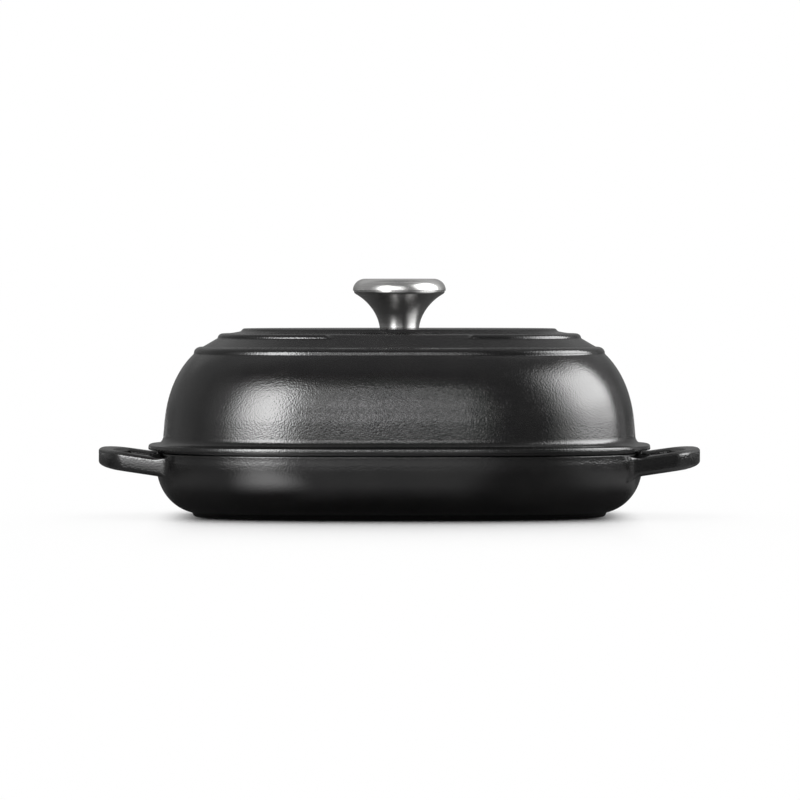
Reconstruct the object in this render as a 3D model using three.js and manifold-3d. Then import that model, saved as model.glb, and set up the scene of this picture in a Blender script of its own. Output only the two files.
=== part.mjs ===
// A covered bread oven in enamelled cast iron: a shallow oval dish with two loop handles, a tall
// domed lid that drops onto its rim, and a hollow steel knob held by a screw through the lid.
// Millimetres, +Z up, X along the handles. The origin is on the table, under the middle of the dish.
import * as THREE from 'three';
import { mergeVertices } from 'three/addons/utils/BufferGeometryUtils.js';
import Module from 'manifold-3d';

// Oval plan |x/a|^p + |y/b|^p = 1 at the dish's rim. Every other level is set in or out from it evenly.
const rimHalfLength = 151.5;
const rimHalfDepth = 97.5;
const ovalPower = 2.8;

// Dish
const dishHeight = 40.3;
const dishWall = 4.8;
const dishFloor = 5;
const rimRound = 1.2; // rounding of the rim's outer edge
const rimChamfer = 0.8; // easing of the rim's inner edge
const rimBand = 8.5; // straight band below the rim
const bellyReach = 27; // how far the belly draws in below that band
const bellyLift = 2; // height of the belly's lowest point
const footTuck = 4.4; // how far the foot stands out past that point
const footFlare = 0.6; // lean of the foot's side
const footRound = 1.5; // rounding of the foot's lower edge

// Loop handles, cast with the dish
const handleReach = 36.3; // from the rim to the tip, along the bars
const handleWidth = 98; // over both bars, at the dish
const handleTaper = 10; // degrees that each bar leans in towards the tip
const barWidth = 10;
const barHeight = 12;
const barRoundAcross = 4.6; // rounding of the bar's edges, across
const barRoundUp = 2.8; // and up
const tipBow = 99; // radius of the tip's bowed outer edge
const tipCorner = 14; // radius of its outer corners
const handleTilt = 8.1; // degrees, up and outwards
const handleDrop = 8; // from the rim's top down to the middle of the bars
const rootFlare = 9; // how far a bar widens where it runs into the wall
const rootRun = 9; // length of that widening

// Lid
const seamGap = 1.5; // shadow gap between the rim and the flange
const seatInset = 1.8; // outer edge of the ring that sits on the rim
const lipClearance = 0.6;
const lipDepth = 3;
const lipWidth = 3.2;
const flangeOverhang = 4.5; // past the dish's rim
const flangeThickness = 2.8;
const flangeFillet = 5.8; // from the flange up into the wall
const lidInset = 4.3; // the wall's foot, in from the dish's rim
const lidWall = 4.2;
const lidDraft = 0.085; // lean of the wall, in per unit of height
const wallRise = 8.4; // straight part of the wall
const shoulderReach = 17.8;
const shoulderRise = 41.9;
const shoulderEase = 15; // how far the wall's lean carries into the shoulder
const shoulderTurn = 15.7; // and how far the slope at its top carries back
const shoulderAngle = 46; // degrees, that slope measured from upright
const outerStepDepth = 4.2;
const outerStepHeight = 4.6;
const ledgeReach = 2; // flat ledge on the outer step
const rampReach = 9.1; // from that ledge to the inner step
const rampRise = 5.8;
const innerStepDepth = 2.8;
const innerStepHeight = 2.6;
const crownReach = 11; // from the inner step to the top's edge
const crownRise = 1.3;
const topStepDepth = 2.5; // sloped edge of the flat top
const topStepHeight = 1.8;
const plaqueHalfLength = 44; // plain stretch in the inner step, at the front

// Knob, screw and washer
const stemFootRadius = 12.3;
const stemHeight = 23.5;
const stemRimRadius = 28.4;
const stemWall = 1.2;
const waistRise = 9; // how far up the waist stays slim
const waistFlare = 0.7; // how much it opens there
const trumpetReach = 6.9; // the flare's last stretch, outwards
const trumpetRise = 4; // and upwards
const brimReach = 1.8; // rounded brim that ends the flare
const brimRise = 2.4;
const capRadius = 29;
const capBand = 1.4; // height of the cap's upright edge
const capTuck = 0.5; // how far that edge draws in at its foot
const capShoulderReach = 7.6;
const capShoulderRise = 6.2;
const capWall = 1.2;
const insertRadius = 8;
const insertHeight = 16;
const screwRadius = 3;
const threadClearance = 0.3;
const holeClearance = 0.5; // round the screw, in the lid, stem and washer
const screwEngagement = 12; // length of screw inside the insert
const screwHeadRadius = 5.5;
const screwHeadHeight = 3.6;
const driveWidth = 1.3; // cross recess in the screw's head
const driveDepth = 1.8;
const driveLength = 6.4;
const washerRadius = 8;
const washerThickness = 1.2;

// Fineness of the round surfaces
const ovalSides = 48;
const latheSides = 24;
const screwSides = 16;
const arcSteps = 3;
const edgeSteps = 2;
const curveSteps = 5;
const trumpetSteps = 8;
const legSteps = 6;
const cutMargin = 20; // how far a cutting solid runs past what it cuts

const wasm = await Module();
wasm.setup();

const degrees = Math.PI / 180;
const range = (count) => Array.from({ length: count }, (_, index) => index);

// Materials
const enamel = new THREE.MeshStandardMaterial({ color: 0x1d1d1f, roughness: 0.42, metalness: 0 });
const steel = new THREE.MeshStandardMaterial({ color: 0xb9b7b3, roughness: 0.3, metalness: 1 });
const zincSteel = new THREE.MeshStandardMaterial({ color: 0x8f9092, roughness: 0.45, metalness: 1 });

// Solids and geometries
function toSolid(geometry) {
  geometry.deleteAttribute('normal');
  geometry.deleteAttribute('uv');
  const merged = mergeVertices(geometry, 1e-4);
  const corners = Array.from(merged.index.array);
  const faces = range(corners.length / 3).map((face) => corners.slice(3 * face, 3 * face + 3));
  const sound = faces.filter((face) => new Set(face).size === 3);
  return new wasm.Manifold(new wasm.Mesh({
    numProp: 3,
    vertProperties: new Float32Array(merged.attributes.position.array),
    triVerts: new Uint32Array(sound.flat()),
  }));
}

function toGeometry(solid) {
  const mesh = solid.getMesh();
  const geometry = new THREE.BufferGeometry();
  geometry.setAttribute('position', new THREE.BufferAttribute(new Float32Array(mesh.vertProperties), 3));
  geometry.setIndex(new THREE.BufferAttribute(new Uint32Array(mesh.triVerts), 1));
  geometry.computeVertexNormals();
  return geometry;
}

function piece(name, geometry, material) {
  const mesh = new THREE.Mesh(geometry, material);
  mesh.name = name;
  return mesh;
}

// A point of the oval that lies a given inset inside the rim
function ovalPoint(inset, angle) {
  const power = 2 / ovalPower;
  const along = Math.cos(angle);
  const across = Math.sin(angle);
  return [
    (rimHalfLength - inset) * Math.sign(along) * Math.abs(along) ** power,
    (rimHalfDepth - inset) * Math.sign(across) * Math.abs(across) ** power,
  ];
}

// Half-length of the rim's oval at a given distance to the side
function ovalReach(side) {
  return rimHalfLength * (1 - Math.abs(side / rimHalfDepth) ** ovalPower) ** (1 / ovalPower);
}

// A closed oval solid from a profile of [inset, height] points. The profile runs from the axis out
// along the underside, up the outside and back to the axis.
function ovalGeometry(profile) {
  const positions = [0, 0, profile[0][1]];
  for (const [inset, height] of profile) {
    for (const side of range(ovalSides)) {
      positions.push(...ovalPoint(inset, (2 * Math.PI * side) / ovalSides), height);
    }
  }
  positions.push(0, 0, profile.at(-1)[1]);
  const last = positions.length / 3 - 1;
  const at = (level, side) => 1 + level * ovalSides + (side % ovalSides);
  const faces = [];
  for (const side of range(ovalSides)) {
    faces.push(0, at(0, side + 1), at(0, side));
    for (const level of range(profile.length - 1)) {
      faces.push(at(level, side), at(level, side + 1), at(level + 1, side + 1));
      faces.push(at(level, side), at(level + 1, side + 1), at(level + 1, side));
    }
    faces.push(at(profile.length - 1, side), at(profile.length - 1, side + 1), last);
  }
  const geometry = new THREE.BufferGeometry();
  geometry.setAttribute('position', new THREE.Float32BufferAttribute(positions, 3));
  geometry.setIndex(faces);
  return geometry;
}

// Points on an arc of an ellipse, angles in degrees
function arc(centreX, centreY, radiusX, radiusY, from, to, steps) {
  return range(steps + 1).map((step) => {
    const angle = (from + ((to - from) * step) / steps) * degrees;
    return [centreX + radiusX * Math.cos(angle), centreY + radiusY * Math.sin(angle)];
  });
}

function bezier(points, steps) {
  const curve = new THREE.CubicBezierCurve(...points.map(([x, y]) => new THREE.Vector2(x, y)));
  return curve.getPoints(steps).map((point) => [point.x, point.y]);
}

function lathe(profile, sides) {
  const points = profile.map(([radius, height]) => new THREE.Vector2(radius, height));
  return new THREE.LatheGeometry(points, sides).rotateX(Math.PI / 2);
}

function rod(radius, from, to, sides) {
  return lathe([[0, from], [radius, from], [radius, to], [0, to]], sides);
}

function box(width, depth, height) {
  return new THREE.BoxGeometry(width, depth, height);
}

// Dish: heights that the other pieces use
const bellyTop = dishHeight - rimBand;
const footInset = bellyReach - footTuck;

function dishOutside() {
  const bellyStart = -Math.acos((footTuck + footFlare) / bellyReach) / degrees;
  const belly = arc(bellyReach, bellyTop, -bellyReach, bellyTop - bellyLift, bellyStart, 0, curveSteps);
  const foot = arc(footInset + footRound, footRound, -footRound, footRound, -90, 0, edgeSteps);
  const rim = arc(rimRound, dishHeight - rimRound, -rimRound, rimRound, 0, 90, edgeSteps);
  return toSolid(ovalGeometry([...foot, ...belly, ...rim]));
}

function dishCavity() {
  const hollow = arc(dishWall + bellyReach, bellyTop, -bellyReach, bellyTop - dishFloor, -90, 0, curveSteps);
  const mouth = dishWall - rimChamfer;
  const top = dishHeight + cutMargin;
  return toSolid(ovalGeometry([
    ...hollow, [dishWall, dishHeight - rimChamfer], [mouth, dishHeight], [mouth, top],
  ]));
}

// Section of a handle's bar: upright sides under an arched top, as [outwards, upwards] from its middle
function barSection() {
  const side = barWidth / 2 - barRoundAcross;
  const rise = barHeight / 2 - barRoundUp;
  const corners = [[side, rise], [-side, rise], [-side, -rise], [side, -rise]];
  return corners.flatMap(([x, y], turn) => {
    const from = 90 * turn;
    return arc(x, y, barRoundAcross, barRoundUp, from, from + 90, arcSteps);
  });
}

// How far a bar's face spreads at x, from nothing at the fillet's end to its full width in the wall
function rootSpread(x, face, turn) {
  const start = ovalReach(face) + rootRun;
  const full = ovalReach(face + turn * rootFlare);
  const share = THREE.MathUtils.clamp((start - x) / (start - full), 0, 1);
  return rootFlare * share ** 2;
}

// Centre of the circle that rounds a handle's corner: it lies a corner's radius inside the leaning leg
// and inside the bowed tip
function cornerCentre(side, corner, bow, bowCentre) {
  const lean = handleTaper * degrees;
  const slope = Math.tan(lean);
  const start = side - corner * Math.cos(lean) - (corner * Math.sin(lean) - ovalReach(side)) * slope;
  const square = 1 + slope ** 2;
  const middle = bowCentre + start * slope;
  const rest = bowCentre ** 2 + start ** 2 - (bow - corner) ** 2;
  const along = (middle + Math.sqrt(middle ** 2 - square * rest)) / square;
  return [along, start - along * slope];
}

// Middle line of one handle in plan, as [x, y, heading]: a U whose legs start inside the dish's wall,
// lean towards each other and end in a bowed tip
function handleLine() {
  const half = barWidth / 2;
  const side = handleWidth / 2 - half;
  const bow = tipBow - half;
  const corner = tipCorner - half;
  const bowCentre = rimHalfLength + handleReach - tipBow;
  const [cornerX, cornerY] = cornerCentre(side, corner, bow, bowCentre);
  const turn = Math.atan2(cornerY, cornerX - bowCentre) / degrees;
  const lean = handleTaper * degrees;
  const onLeg = (x) => [x, (x - ovalReach(side)) * Math.tan(lean) - side, lean];
  const inWall = ovalReach(side + half + rootFlare);
  const legEnd = ovalReach(side - half) + rootRun;
  const root = onLeg(inWall - dishWall);
  const leg = range(legSteps + 1).map((step) => onLeg(inWall + ((legEnd - inWall) * step) / legSteps));
  const turned = (points, from, to) => points.map(([x, y], step) => {
    const angle = from + ((to - from) * step) / (points.length - 1);
    return [x, y, (angle + 90) * degrees];
  });
  const bend = handleTaper - 90;
  const firstCorner = turned(arc(cornerX, -cornerY, corner, corner, bend, -turn, arcSteps), bend, -turn);
  const halfTip = turned(arc(bowCentre, 0, bow, bow, -turn, 0, arcSteps), -turn, 0).slice(1);
  const there = [root, ...leg, ...firstCorner, ...halfTip];
  const back = there.slice(0, -1).map(([x, y, heading]) => [x, -y, Math.PI - heading]);
  return [...there, ...back.reverse()];
}

function handleGeometry() {
  const line = handleLine();
  const section = barSection();
  const count = section.length;
  const half = barWidth / 2;
  const positions = [];
  for (const [x, y, heading] of line) {
    const outer = 1 + rootSpread(x, handleWidth / 2, 1) / half;
    const inner = 1 + rootSpread(x, handleWidth / 2 - barWidth, -1) / half;
    for (const [side, rise] of section) {
      const out = side * (side > 0 ? outer : inner);
      positions.push(x + out * Math.sin(heading), y - out * Math.cos(heading), rise);
    }
  }
  const at = (station, corner) => station * count + (corner % count);
  const last = line.length - 1;
  const faces = [];
  for (const corner of range(count)) {
    for (const station of range(last)) {
      faces.push(at(station, corner), at(station + 1, corner), at(station + 1, corner + 1));
      faces.push(at(station, corner), at(station + 1, corner + 1), at(station, corner + 1));
    }
    if (corner > 0 && corner < count - 1) {
      faces.push(at(0, 0), at(0, corner), at(0, corner + 1));
      faces.push(at(last, 0), at(last, corner + 1), at(last, corner));
    }
  }
  const geometry = new THREE.BufferGeometry();
  geometry.setAttribute('position', new THREE.Float32BufferAttribute(positions, 3));
  geometry.setIndex(faces);
  return geometry;
}

function handleSolid(turn) {
  const geometry = handleGeometry();
  geometry.translate(-rimHalfLength, 0, 0);
  geometry.rotateY(-handleTilt * degrees);
  geometry.translate(rimHalfLength, 0, dishHeight - handleDrop);
  geometry.rotateZ(turn);
  return toSolid(geometry);
}

function baseDish() {
  const casting = dishOutside().add(handleSolid(0)).add(handleSolid(Math.PI));
  return piece('base_dish', toGeometry(casting.subtract(dishCavity())), enamel);
}

// Lid: levels from the seam to the flat top
const flangeBottom = dishHeight + seamGap;
const flangeTop = flangeBottom + flangeThickness;
const wallFoot = flangeTop + flangeFillet;
const shoulderStart = [lidInset + wallRise * lidDraft, wallFoot + wallRise];
const outerStep = [shoulderStart[0] + shoulderReach, shoulderStart[1] + shoulderRise];
const rampStart = [outerStep[0] + outerStepDepth + ledgeReach, outerStep[1] + outerStepHeight];
const innerStep = [rampStart[0] + rampReach, rampStart[1] + rampRise];
const crownStart = [innerStep[0] + innerStepDepth, innerStep[1] + innerStepHeight];
const topStep = [crownStart[0] + crownReach, crownStart[1] + crownRise];
const topEdge = topStep[0] + topStepDepth;
const lidTop = topStep[1] + topStepHeight;
const roofUnder = lidTop - lidWall;

// The lid's shoulder, or the same curve set in by the wall's thickness
function shoulder(offset) {
  const lean = shoulderAngle * degrees;
  const start = [shoulderStart[0] + offset, shoulderStart[1]];
  const end = [outerStep[0] + offset * Math.cos(lean), outerStep[1] - offset * Math.sin(lean)];
  return bezier([
    start,
    [start[0] + shoulderEase * lidDraft, start[1] + shoulderEase],
    [end[0] - shoulderTurn * Math.sin(lean), end[1] - shoulderTurn * Math.cos(lean)],
    end,
  ], curveSteps);
}

// A rounded step up and in, as a quarter of an ellipse
function stepArc([inset, height], depth, rise) {
  return arc(inset + depth, height, -depth, rise, 0, 90, arcSteps);
}

// From the inner step to the top's edge, level at first and then rising
function crown() {
  return range(arcSteps + 1).map((step) => {
    const share = step / arcSteps;
    return [crownStart[0] + crownReach * share, crownStart[1] + crownRise * share ** 2];
  });
}

function lidProfile() {
  const slope = Math.atan2(rampRise + innerStepHeight, rampReach + innerStepDepth);
  const underStep = [innerStep[0] + lidWall * Math.sin(slope), innerStep[1] - lidWall * Math.cos(slope)];
  const lipInset = dishWall + lipClearance;
  const lipBottom = dishHeight - lipDepth;
  const edgeRound = flangeThickness / 2;
  const edgeInset = edgeRound - flangeOverhang;
  const edge = arc(edgeInset, flangeBottom + edgeRound, -edgeRound, edgeRound, -90, 90, 2 * edgeSteps);
  const fillet = arc(lidInset - flangeFillet, wallFoot, flangeFillet, flangeFillet, -90, 0, arcSteps);
  return [
    [topEdge, roofUnder],
    underStep,
    ...shoulder(lidWall).reverse(),
    [lidInset + lidWall, wallFoot],
    [lipInset + lipWidth, dishHeight],
    [lipInset + lipWidth, lipBottom],
    [lipInset, lipBottom],
    [lipInset, dishHeight],
    [seatInset, dishHeight],
    [seatInset, flangeBottom],
    ...edge,
    ...fillet,
    ...shoulder(0),
    ...stepArc(outerStep, outerStepDepth, outerStepHeight).slice(1),
    rampStart,
    ...stepArc(innerStep, innerStepDepth, innerStepHeight),
    ...crown().slice(1),
    [topEdge, lidTop],
  ];
}

// The plain stretch: what stands above the ramp, carried straight on past the inner step, at the front
function plaqueCut() {
  const topInset = innerStep[0] + ((lidTop - innerStep[1]) * rampReach) / rampRise;
  const above = toSolid(ovalGeometry([
    [topInset, lidTop], innerStep, [innerStep[0], lidTop + cutMargin],
  ]));
  const front = box(2 * plaqueHalfLength, rimHalfDepth, 2 * lidTop);
  front.translate(0, -rimHalfDepth / 2, lidTop);
  return above.intersect(toSolid(front));
}

function lidDome() {
  const holeRadius = screwRadius + holeClearance;
  const hole = toSolid(rod(holeRadius, roofUnder - cutMargin, lidTop + cutMargin, screwSides));
  const casting = toSolid(ovalGeometry(lidProfile())).subtract(plaqueCut()).subtract(hole);
  return piece('lid_dome', toGeometry(casting), enamel);
}

// Knob: all heights from the lid's flat top
function trumpet(offset, from) {
  const foot = [stemFootRadius - offset, from];
  const brim = [stemRimRadius - brimReach - offset, stemHeight - brimRise];
  const flare = bezier([
    foot,
    [foot[0] + waistFlare, waistRise],
    [brim[0] - trumpetReach, brim[1] - trumpetRise],
    brim,
  ], trumpetSteps);
  return [...flare, [stemRimRadius - offset, stemHeight]];
}

function knobStem() {
  const hole = screwRadius + holeClearance;
  const profile = [
    [hole, 0],
    ...trumpet(0, 0),
    ...trumpet(stemWall, stemWall).reverse(),
    [hole, stemWall],
    [hole, 0],
  ];
  return piece('knob_stem', lathe(profile, latheSides).translate(0, 0, lidTop), steel);
}

function knobCap() {
  const flatRadius = capRadius - capShoulderReach;
  const edgeTop = stemHeight + capBand;
  const outside = arc(flatRadius, edgeTop, capShoulderReach, capShoulderRise, 0, 90, curveSteps);
  const inside = arc(
    flatRadius, edgeTop, capShoulderReach - capWall, capShoulderRise - capWall, 90, 0, curveSteps,
  );
  const profile = [
    [capRadius - capTuck - capWall, stemHeight],
    [capRadius - capTuck, stemHeight],
    ...outside,
    [0, edgeTop + capShoulderRise],
    [0, edgeTop + capShoulderRise - capWall],
    ...inside,
    [capRadius - capTuck - capWall, stemHeight],
  ];
  return piece('knob_cap', lathe(profile, latheSides).translate(0, 0, lidTop), steel);
}

function knobInsert() {
  const bore = screwRadius + threadClearance;
  const top = stemWall + insertHeight;
  const profile = [
    [bore, stemWall],
    [insertRadius, stemWall],
    [insertRadius, top],
    [bore, top],
    [bore, stemWall],
  ];
  return piece('knob_insert', lathe(profile, screwSides).translate(0, 0, lidTop), zincSteel);
}

// Screw and washer, from below the lid's roof
function screwWasher() {
  const hole = screwRadius + holeClearance;
  const bottom = -washerThickness;
  const profile = [[hole, bottom], [washerRadius, bottom], [washerRadius, 0], [hole, 0], [hole, bottom]];
  return piece('screw_washer', lathe(profile, screwSides).translate(0, 0, roofUnder), zincSteel);
}

function knobScrew() {
  const seat = roofUnder - washerThickness;
  const headEdge = screwHeadHeight / 2;
  const tip = lidTop + stemWall + screwEngagement;
  const head = arc(0, seat - headEdge, screwHeadRadius, headEdge, -90, 0, arcSteps);
  const profile = [...head, [screwHeadRadius, seat], [screwRadius, seat], [screwRadius, tip], [0, tip]];
  const middle = seat - screwHeadHeight + driveDepth / 2;
  let solid = toSolid(lathe(profile, screwSides));
  for (const [width, depth] of [[driveLength, driveWidth], [driveWidth, driveLength]]) {
    solid = solid.subtract(toSolid(box(width, depth, driveDepth).translate(0, 0, middle)));
  }
  return piece('knob_screw', toGeometry(solid), zincSteel);
}

const breadOven = new THREE.Group();
breadOven.add(baseDish(), lidDome());
breadOven.add(knobStem(), knobCap(), knobInsert(), knobScrew(), screwWasher());

export default breadOven;
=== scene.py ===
import math

import bpy
import numpy as np
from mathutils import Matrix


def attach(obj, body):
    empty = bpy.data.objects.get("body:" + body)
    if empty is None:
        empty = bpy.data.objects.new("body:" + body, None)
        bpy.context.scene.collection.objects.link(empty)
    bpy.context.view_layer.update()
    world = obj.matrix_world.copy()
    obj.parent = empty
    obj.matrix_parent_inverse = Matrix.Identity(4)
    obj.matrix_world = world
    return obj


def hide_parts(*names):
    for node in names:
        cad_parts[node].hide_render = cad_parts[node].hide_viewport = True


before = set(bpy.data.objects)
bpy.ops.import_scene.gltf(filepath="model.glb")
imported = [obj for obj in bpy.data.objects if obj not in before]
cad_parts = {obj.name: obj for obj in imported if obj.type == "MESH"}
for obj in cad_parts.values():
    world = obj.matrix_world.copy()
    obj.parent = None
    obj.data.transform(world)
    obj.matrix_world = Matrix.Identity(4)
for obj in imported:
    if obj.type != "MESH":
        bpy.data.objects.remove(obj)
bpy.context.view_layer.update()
print("frame loaded:", ", ".join(sorted(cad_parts)))

scene = bpy.context.scene
scene.view_settings.view_transform = "Standard"
mm = 0.001  # shapes are written in millimetres and put into the meshes in metres

# camera: a long lens a little above the lid's top, looking along +Y
view = {
    "distance": 3.5,
    "height": 0.156,
    "aimX": 0.0004,
    "aimZ": 0.0721,
    "frameWidth": 0.5,  # metres of picture at the middle of the oven
    "sensor": 36.0,
    "clipEnd": 200.0,
}


def makeCamera(v):
    # focal length = sensor * distance to the aim / width of the picture there
    data = bpy.data.cameras.new("oven_camera")
    camera = bpy.data.objects.new("oven_camera", data)
    scene.collection.objects.link(camera)
    drop = v["height"] - v["aimZ"]
    reach = math.hypot(v["distance"], drop)
    data.sensor_width = v["sensor"]
    data.lens = v["sensor"] * reach / v["frameWidth"]
    data.clip_end = v["clipEnd"]
    camera.location = (v["aimX"], -v["distance"], v["height"])
    camera.rotation_euler = (math.pi / 2 - math.atan2(drop, v["distance"]), 0, 0)
    scene.camera = camera


makeCamera(view)


# curves in the profile plane, as rows of [inset or radius, height]
def arc(middle, radii, start, end, steps):
    # points of an ellipse: middle + radii * (cos, sin) of an angle that runs from start to end degrees
    turn = np.radians(np.linspace(start, end, steps + 1))
    return np.column_stack([middle[0] + radii[0] * np.cos(turn), middle[1] + radii[1] * np.sin(turn)])


def bezier(corners, steps):
    # cubic Bezier: (1-s)^3 A + 3 s (1-s)^2 B + 3 s^2 (1-s) C + s^3 D
    s = np.linspace(0, 1, steps + 1)[:, None]
    a, b, c, d = [np.asarray(p, float) for p in corners]
    return (1 - s) ** 3 * a + 3 * s * (1 - s) ** 2 * b + 3 * s**2 * (1 - s) * c + s**3 * d


def line(start, end, steps):
    # evenly spaced points from start to end
    s = np.linspace(0, 1, steps + 1)[:, None]
    return (1 - s) * np.asarray(start, float) + s * np.asarray(end, float)


def chain(*parts, least=0.001):
    # parts laid end to end, without points that are no farther than a micron from the one before
    rows = np.vstack([np.atleast_2d(p) for p in parts])
    step = np.hypot(*np.diff(rows, axis=0).T)
    return rows[np.concatenate([[True], step > least])]


def stepCurve(start, size, slopes, radii, steps, tries=4000, leastTurn=0.01):
    # a step as two arcs, a hollow foot and a round brow, joined by the straight line that touches both. The
    # line's angle g is where rise - foot (cos a - cos g) - brow (cos b - cos g) equals
    # tan g times reach - foot (sin g - sin a) - brow (sin g - sin b), for slopes a before and b after.
    a, b = np.radians(slopes)
    foot, brow = radii
    g = np.linspace(max(a, b) + leastTurn, np.pi / 2, tries)
    reach = size[0] - foot * (np.sin(g) - np.sin(a)) - brow * (np.sin(g) - np.sin(b))
    rise = size[1] - foot * (np.cos(a) - np.cos(g)) - brow * (np.cos(b) - np.cos(g))
    steep = g[np.argmin(np.abs(rise * np.cos(g) - reach * np.sin(g)))]
    up, over = np.linspace(a, steep, steps + 1), np.linspace(steep, b, steps + 1)
    hollow = np.column_stack([np.sin(up) - np.sin(a), np.cos(a) - np.cos(up)]) * foot
    top = np.column_stack([np.sin(over) - np.sin(b), np.cos(b) - np.cos(over)]) * brow
    return chain(np.asarray(start) + hollow, np.asarray(start) + size - top)


def smooth(x):
    # 3 x^2 - 2 x^3 between 0 and 1, flat outside
    x = np.clip(x, 0, 1)
    return x * x * (3 - 2 * x)


# meshes from grids of points
def gridMesh(name, points, loop=False, sharp=38, onePlace=1e-6):
    # quads between neighbouring rows and columns. Columns always wrap round, rows wrap where loop is true,
    # and a first or last row that has shrunk to one place becomes a fan of triangles round one vertex.
    rows, cols = points.shape[:2]
    index = np.arange(rows * cols).reshape(rows, cols)
    closed = [not loop and np.ptp(points[r], axis=0).max() < onePlace for r in (0, -1)]
    index[0] = index[0, 0] if closed[0] else index[0]
    index[-1] = index[-1, 0] if closed[1] else index[-1]
    below = index if loop else index[:-1]
    above = np.roll(index, -1, axis=0) if loop else index[1:]
    quads = np.stack([below, np.roll(below, -1, 1), np.roll(above, -1, 1), above], axis=-1)
    fans = np.vstack([quads[0][: cols * closed[0], [0, 2, 3]], quads[-1][: cols * closed[1], [0, 1, 2]]])
    quads = quads[int(closed[0]) : len(quads) - int(closed[1])].reshape(-1, 4)
    used = np.unique(index)
    fresh = np.zeros(rows * cols, int)
    fresh[used] = np.arange(len(used))
    mesh = bpy.data.meshes.new(name)
    places = points.reshape(-1, 3)[used] * mm
    mesh.from_pydata(places.tolist(), [], fresh[quads].tolist() + fresh[fans].tolist())
    return finishMesh(name, mesh, sharp)


def finishMesh(name, mesh, sharp):
    # smooth shading, apart from edges that turn by more than the sharp angle, in degrees
    mesh.update()
    mesh.shade_smooth()
    mesh.set_sharp_from_angle(angle=math.radians(sharp))
    piece = bpy.data.objects.new(name, mesh)
    scene.collection.objects.link(piece)
    return piece


# the oval plan that the dish and lid share
ovenPlan = {"halfLength": 151.5, "halfDepth": 97.5, "power": 2.8, "around": 400}


def ovalAngles(plan, samples=40001):
    # angles that space the columns evenly along the rim, found from the curve's summed length
    turn = np.linspace(0, 2 * np.pi, samples)
    x, y = ovalPoints(plan, np.zeros(1), turn)
    run = np.concatenate([[0], np.cumsum(np.hypot(np.diff(x[0]), np.diff(y[0])))])
    return np.interp(np.arange(plan["around"]) * run[-1] / plan["around"], run, turn)


def ovalPoints(plan, inset, turn):
    # x = (a - inset) sgn(cos)|cos|^(2/p), y = (b - inset) sgn(sin)|sin|^(2/p)
    power = 2 / plan["power"]
    along = np.sign(np.cos(turn)) * np.abs(np.cos(turn)) ** power
    across = np.sign(np.sin(turn)) * np.abs(np.sin(turn)) ** power
    x = (plan["halfLength"] - inset)[:, None] * along
    return x, (plan["halfDepth"] - inset)[:, None] * across


def ovalReach(plan, side):
    # half-length of the rim at a distance y from the long axis: a (1 - |y/b|^p)^(1/p)
    share = np.clip(np.abs(side / plan["halfDepth"]), 0, 1) ** plan["power"]
    return plan["halfLength"] * (1 - share) ** (1 / plan["power"])


def ovalGrid(plan, profile, hole=0.0, hubRows=6):
    # every profile point becomes an oval ring at its height; the flat hubs at both ends run from the ring
    # to a round hole, or to the axis
    turn = ovalAngles(plan)
    x, y = ovalPoints(plan, profile[:, 0], turn)
    rings = np.stack([x, y, np.repeat(profile[:, 1:2], len(turn), axis=1)], axis=-1)
    share = np.linspace(0, 1, hubRows)[:-1, None, None]
    heading = np.arctan2(y[0], x[0])
    holeRing = np.stack([hole * np.cos(heading), hole * np.sin(heading), np.zeros(len(turn))], axis=-1)
    flat = np.array([1, 1, 0])
    hubs = [
        ring * (1 - flat) + holeRing * (1 - share) + ring * flat * share for ring in (rings[0], rings[-1])
    ]
    return np.concatenate([hubs[0], rings, hubs[1][::-1]])


# dish with its two loop handles; rows are the numbers of grid rows on each stretch
dishShape = {
    "height": 40.3,
    "wall": 4.8,
    "floor": 5.0,
    "rimRound": 1.2,
    "rimEase": 0.8,
    "rimBand": 8.5,
    "leanIn": 0.12,  # how far the wall steps in below the rim
    "leanFrom": 33.6,
    "leanRise": 4.2,
    "bellyReach": 27.0,
    "bellyLift": 2.0,
    "footTuck": 4.4,
    "footFlare": 0.6,
    "footRound": 1.5,
    "rows": {"foot": 8, "belly": 44, "band": 20, "rim": 8, "ease": 6, "inBand": 6, "hollow": 36},
    "sharp": 50,
}
handleShape = {
    "reach": 36.3,
    "width": 98.0,
    "barWidth": 10.0,
    "barHeight": 12.0,
    "barRound": (4.6, 2.8),  # across and up, so that the top is a low arch
    "taper": 10.0,  # degrees that each bar leans in towards the tip
    "tipBow": 99.0,
    "tipCorner": 14.0,
    "tilt": 8.1,
    "drop": 8.0,
    "rootFlare": 2.9,
    "flarePower": 4,
    "rootCrisp": 0.8,  # how much of the section's rounding is gone at the root
    "rootSweep": (2.2, 1.2),  # slow rise of a bar's upper edge and top towards the root
    "rootRise": (3.2, 2.0),  # quick rise of both at the root, to meet the rim
    "rootDrop": 2.4,  # how far the outer face's lower edge falls
    "rootRun": (7.0, 5.0),  # length of the fillet on the outer and inner face
    "sweepRun": 11.0,
    "riseRun": 3.8,
    "riseLag": 1.0,  # how far behind the wall's face the quick rise ends
    "rootDepth": 4.0,  # how far a bar goes into the wall
    "rows": {"section": 10, "corner": 18, "tip": 16, "root": 55},
}


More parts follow.
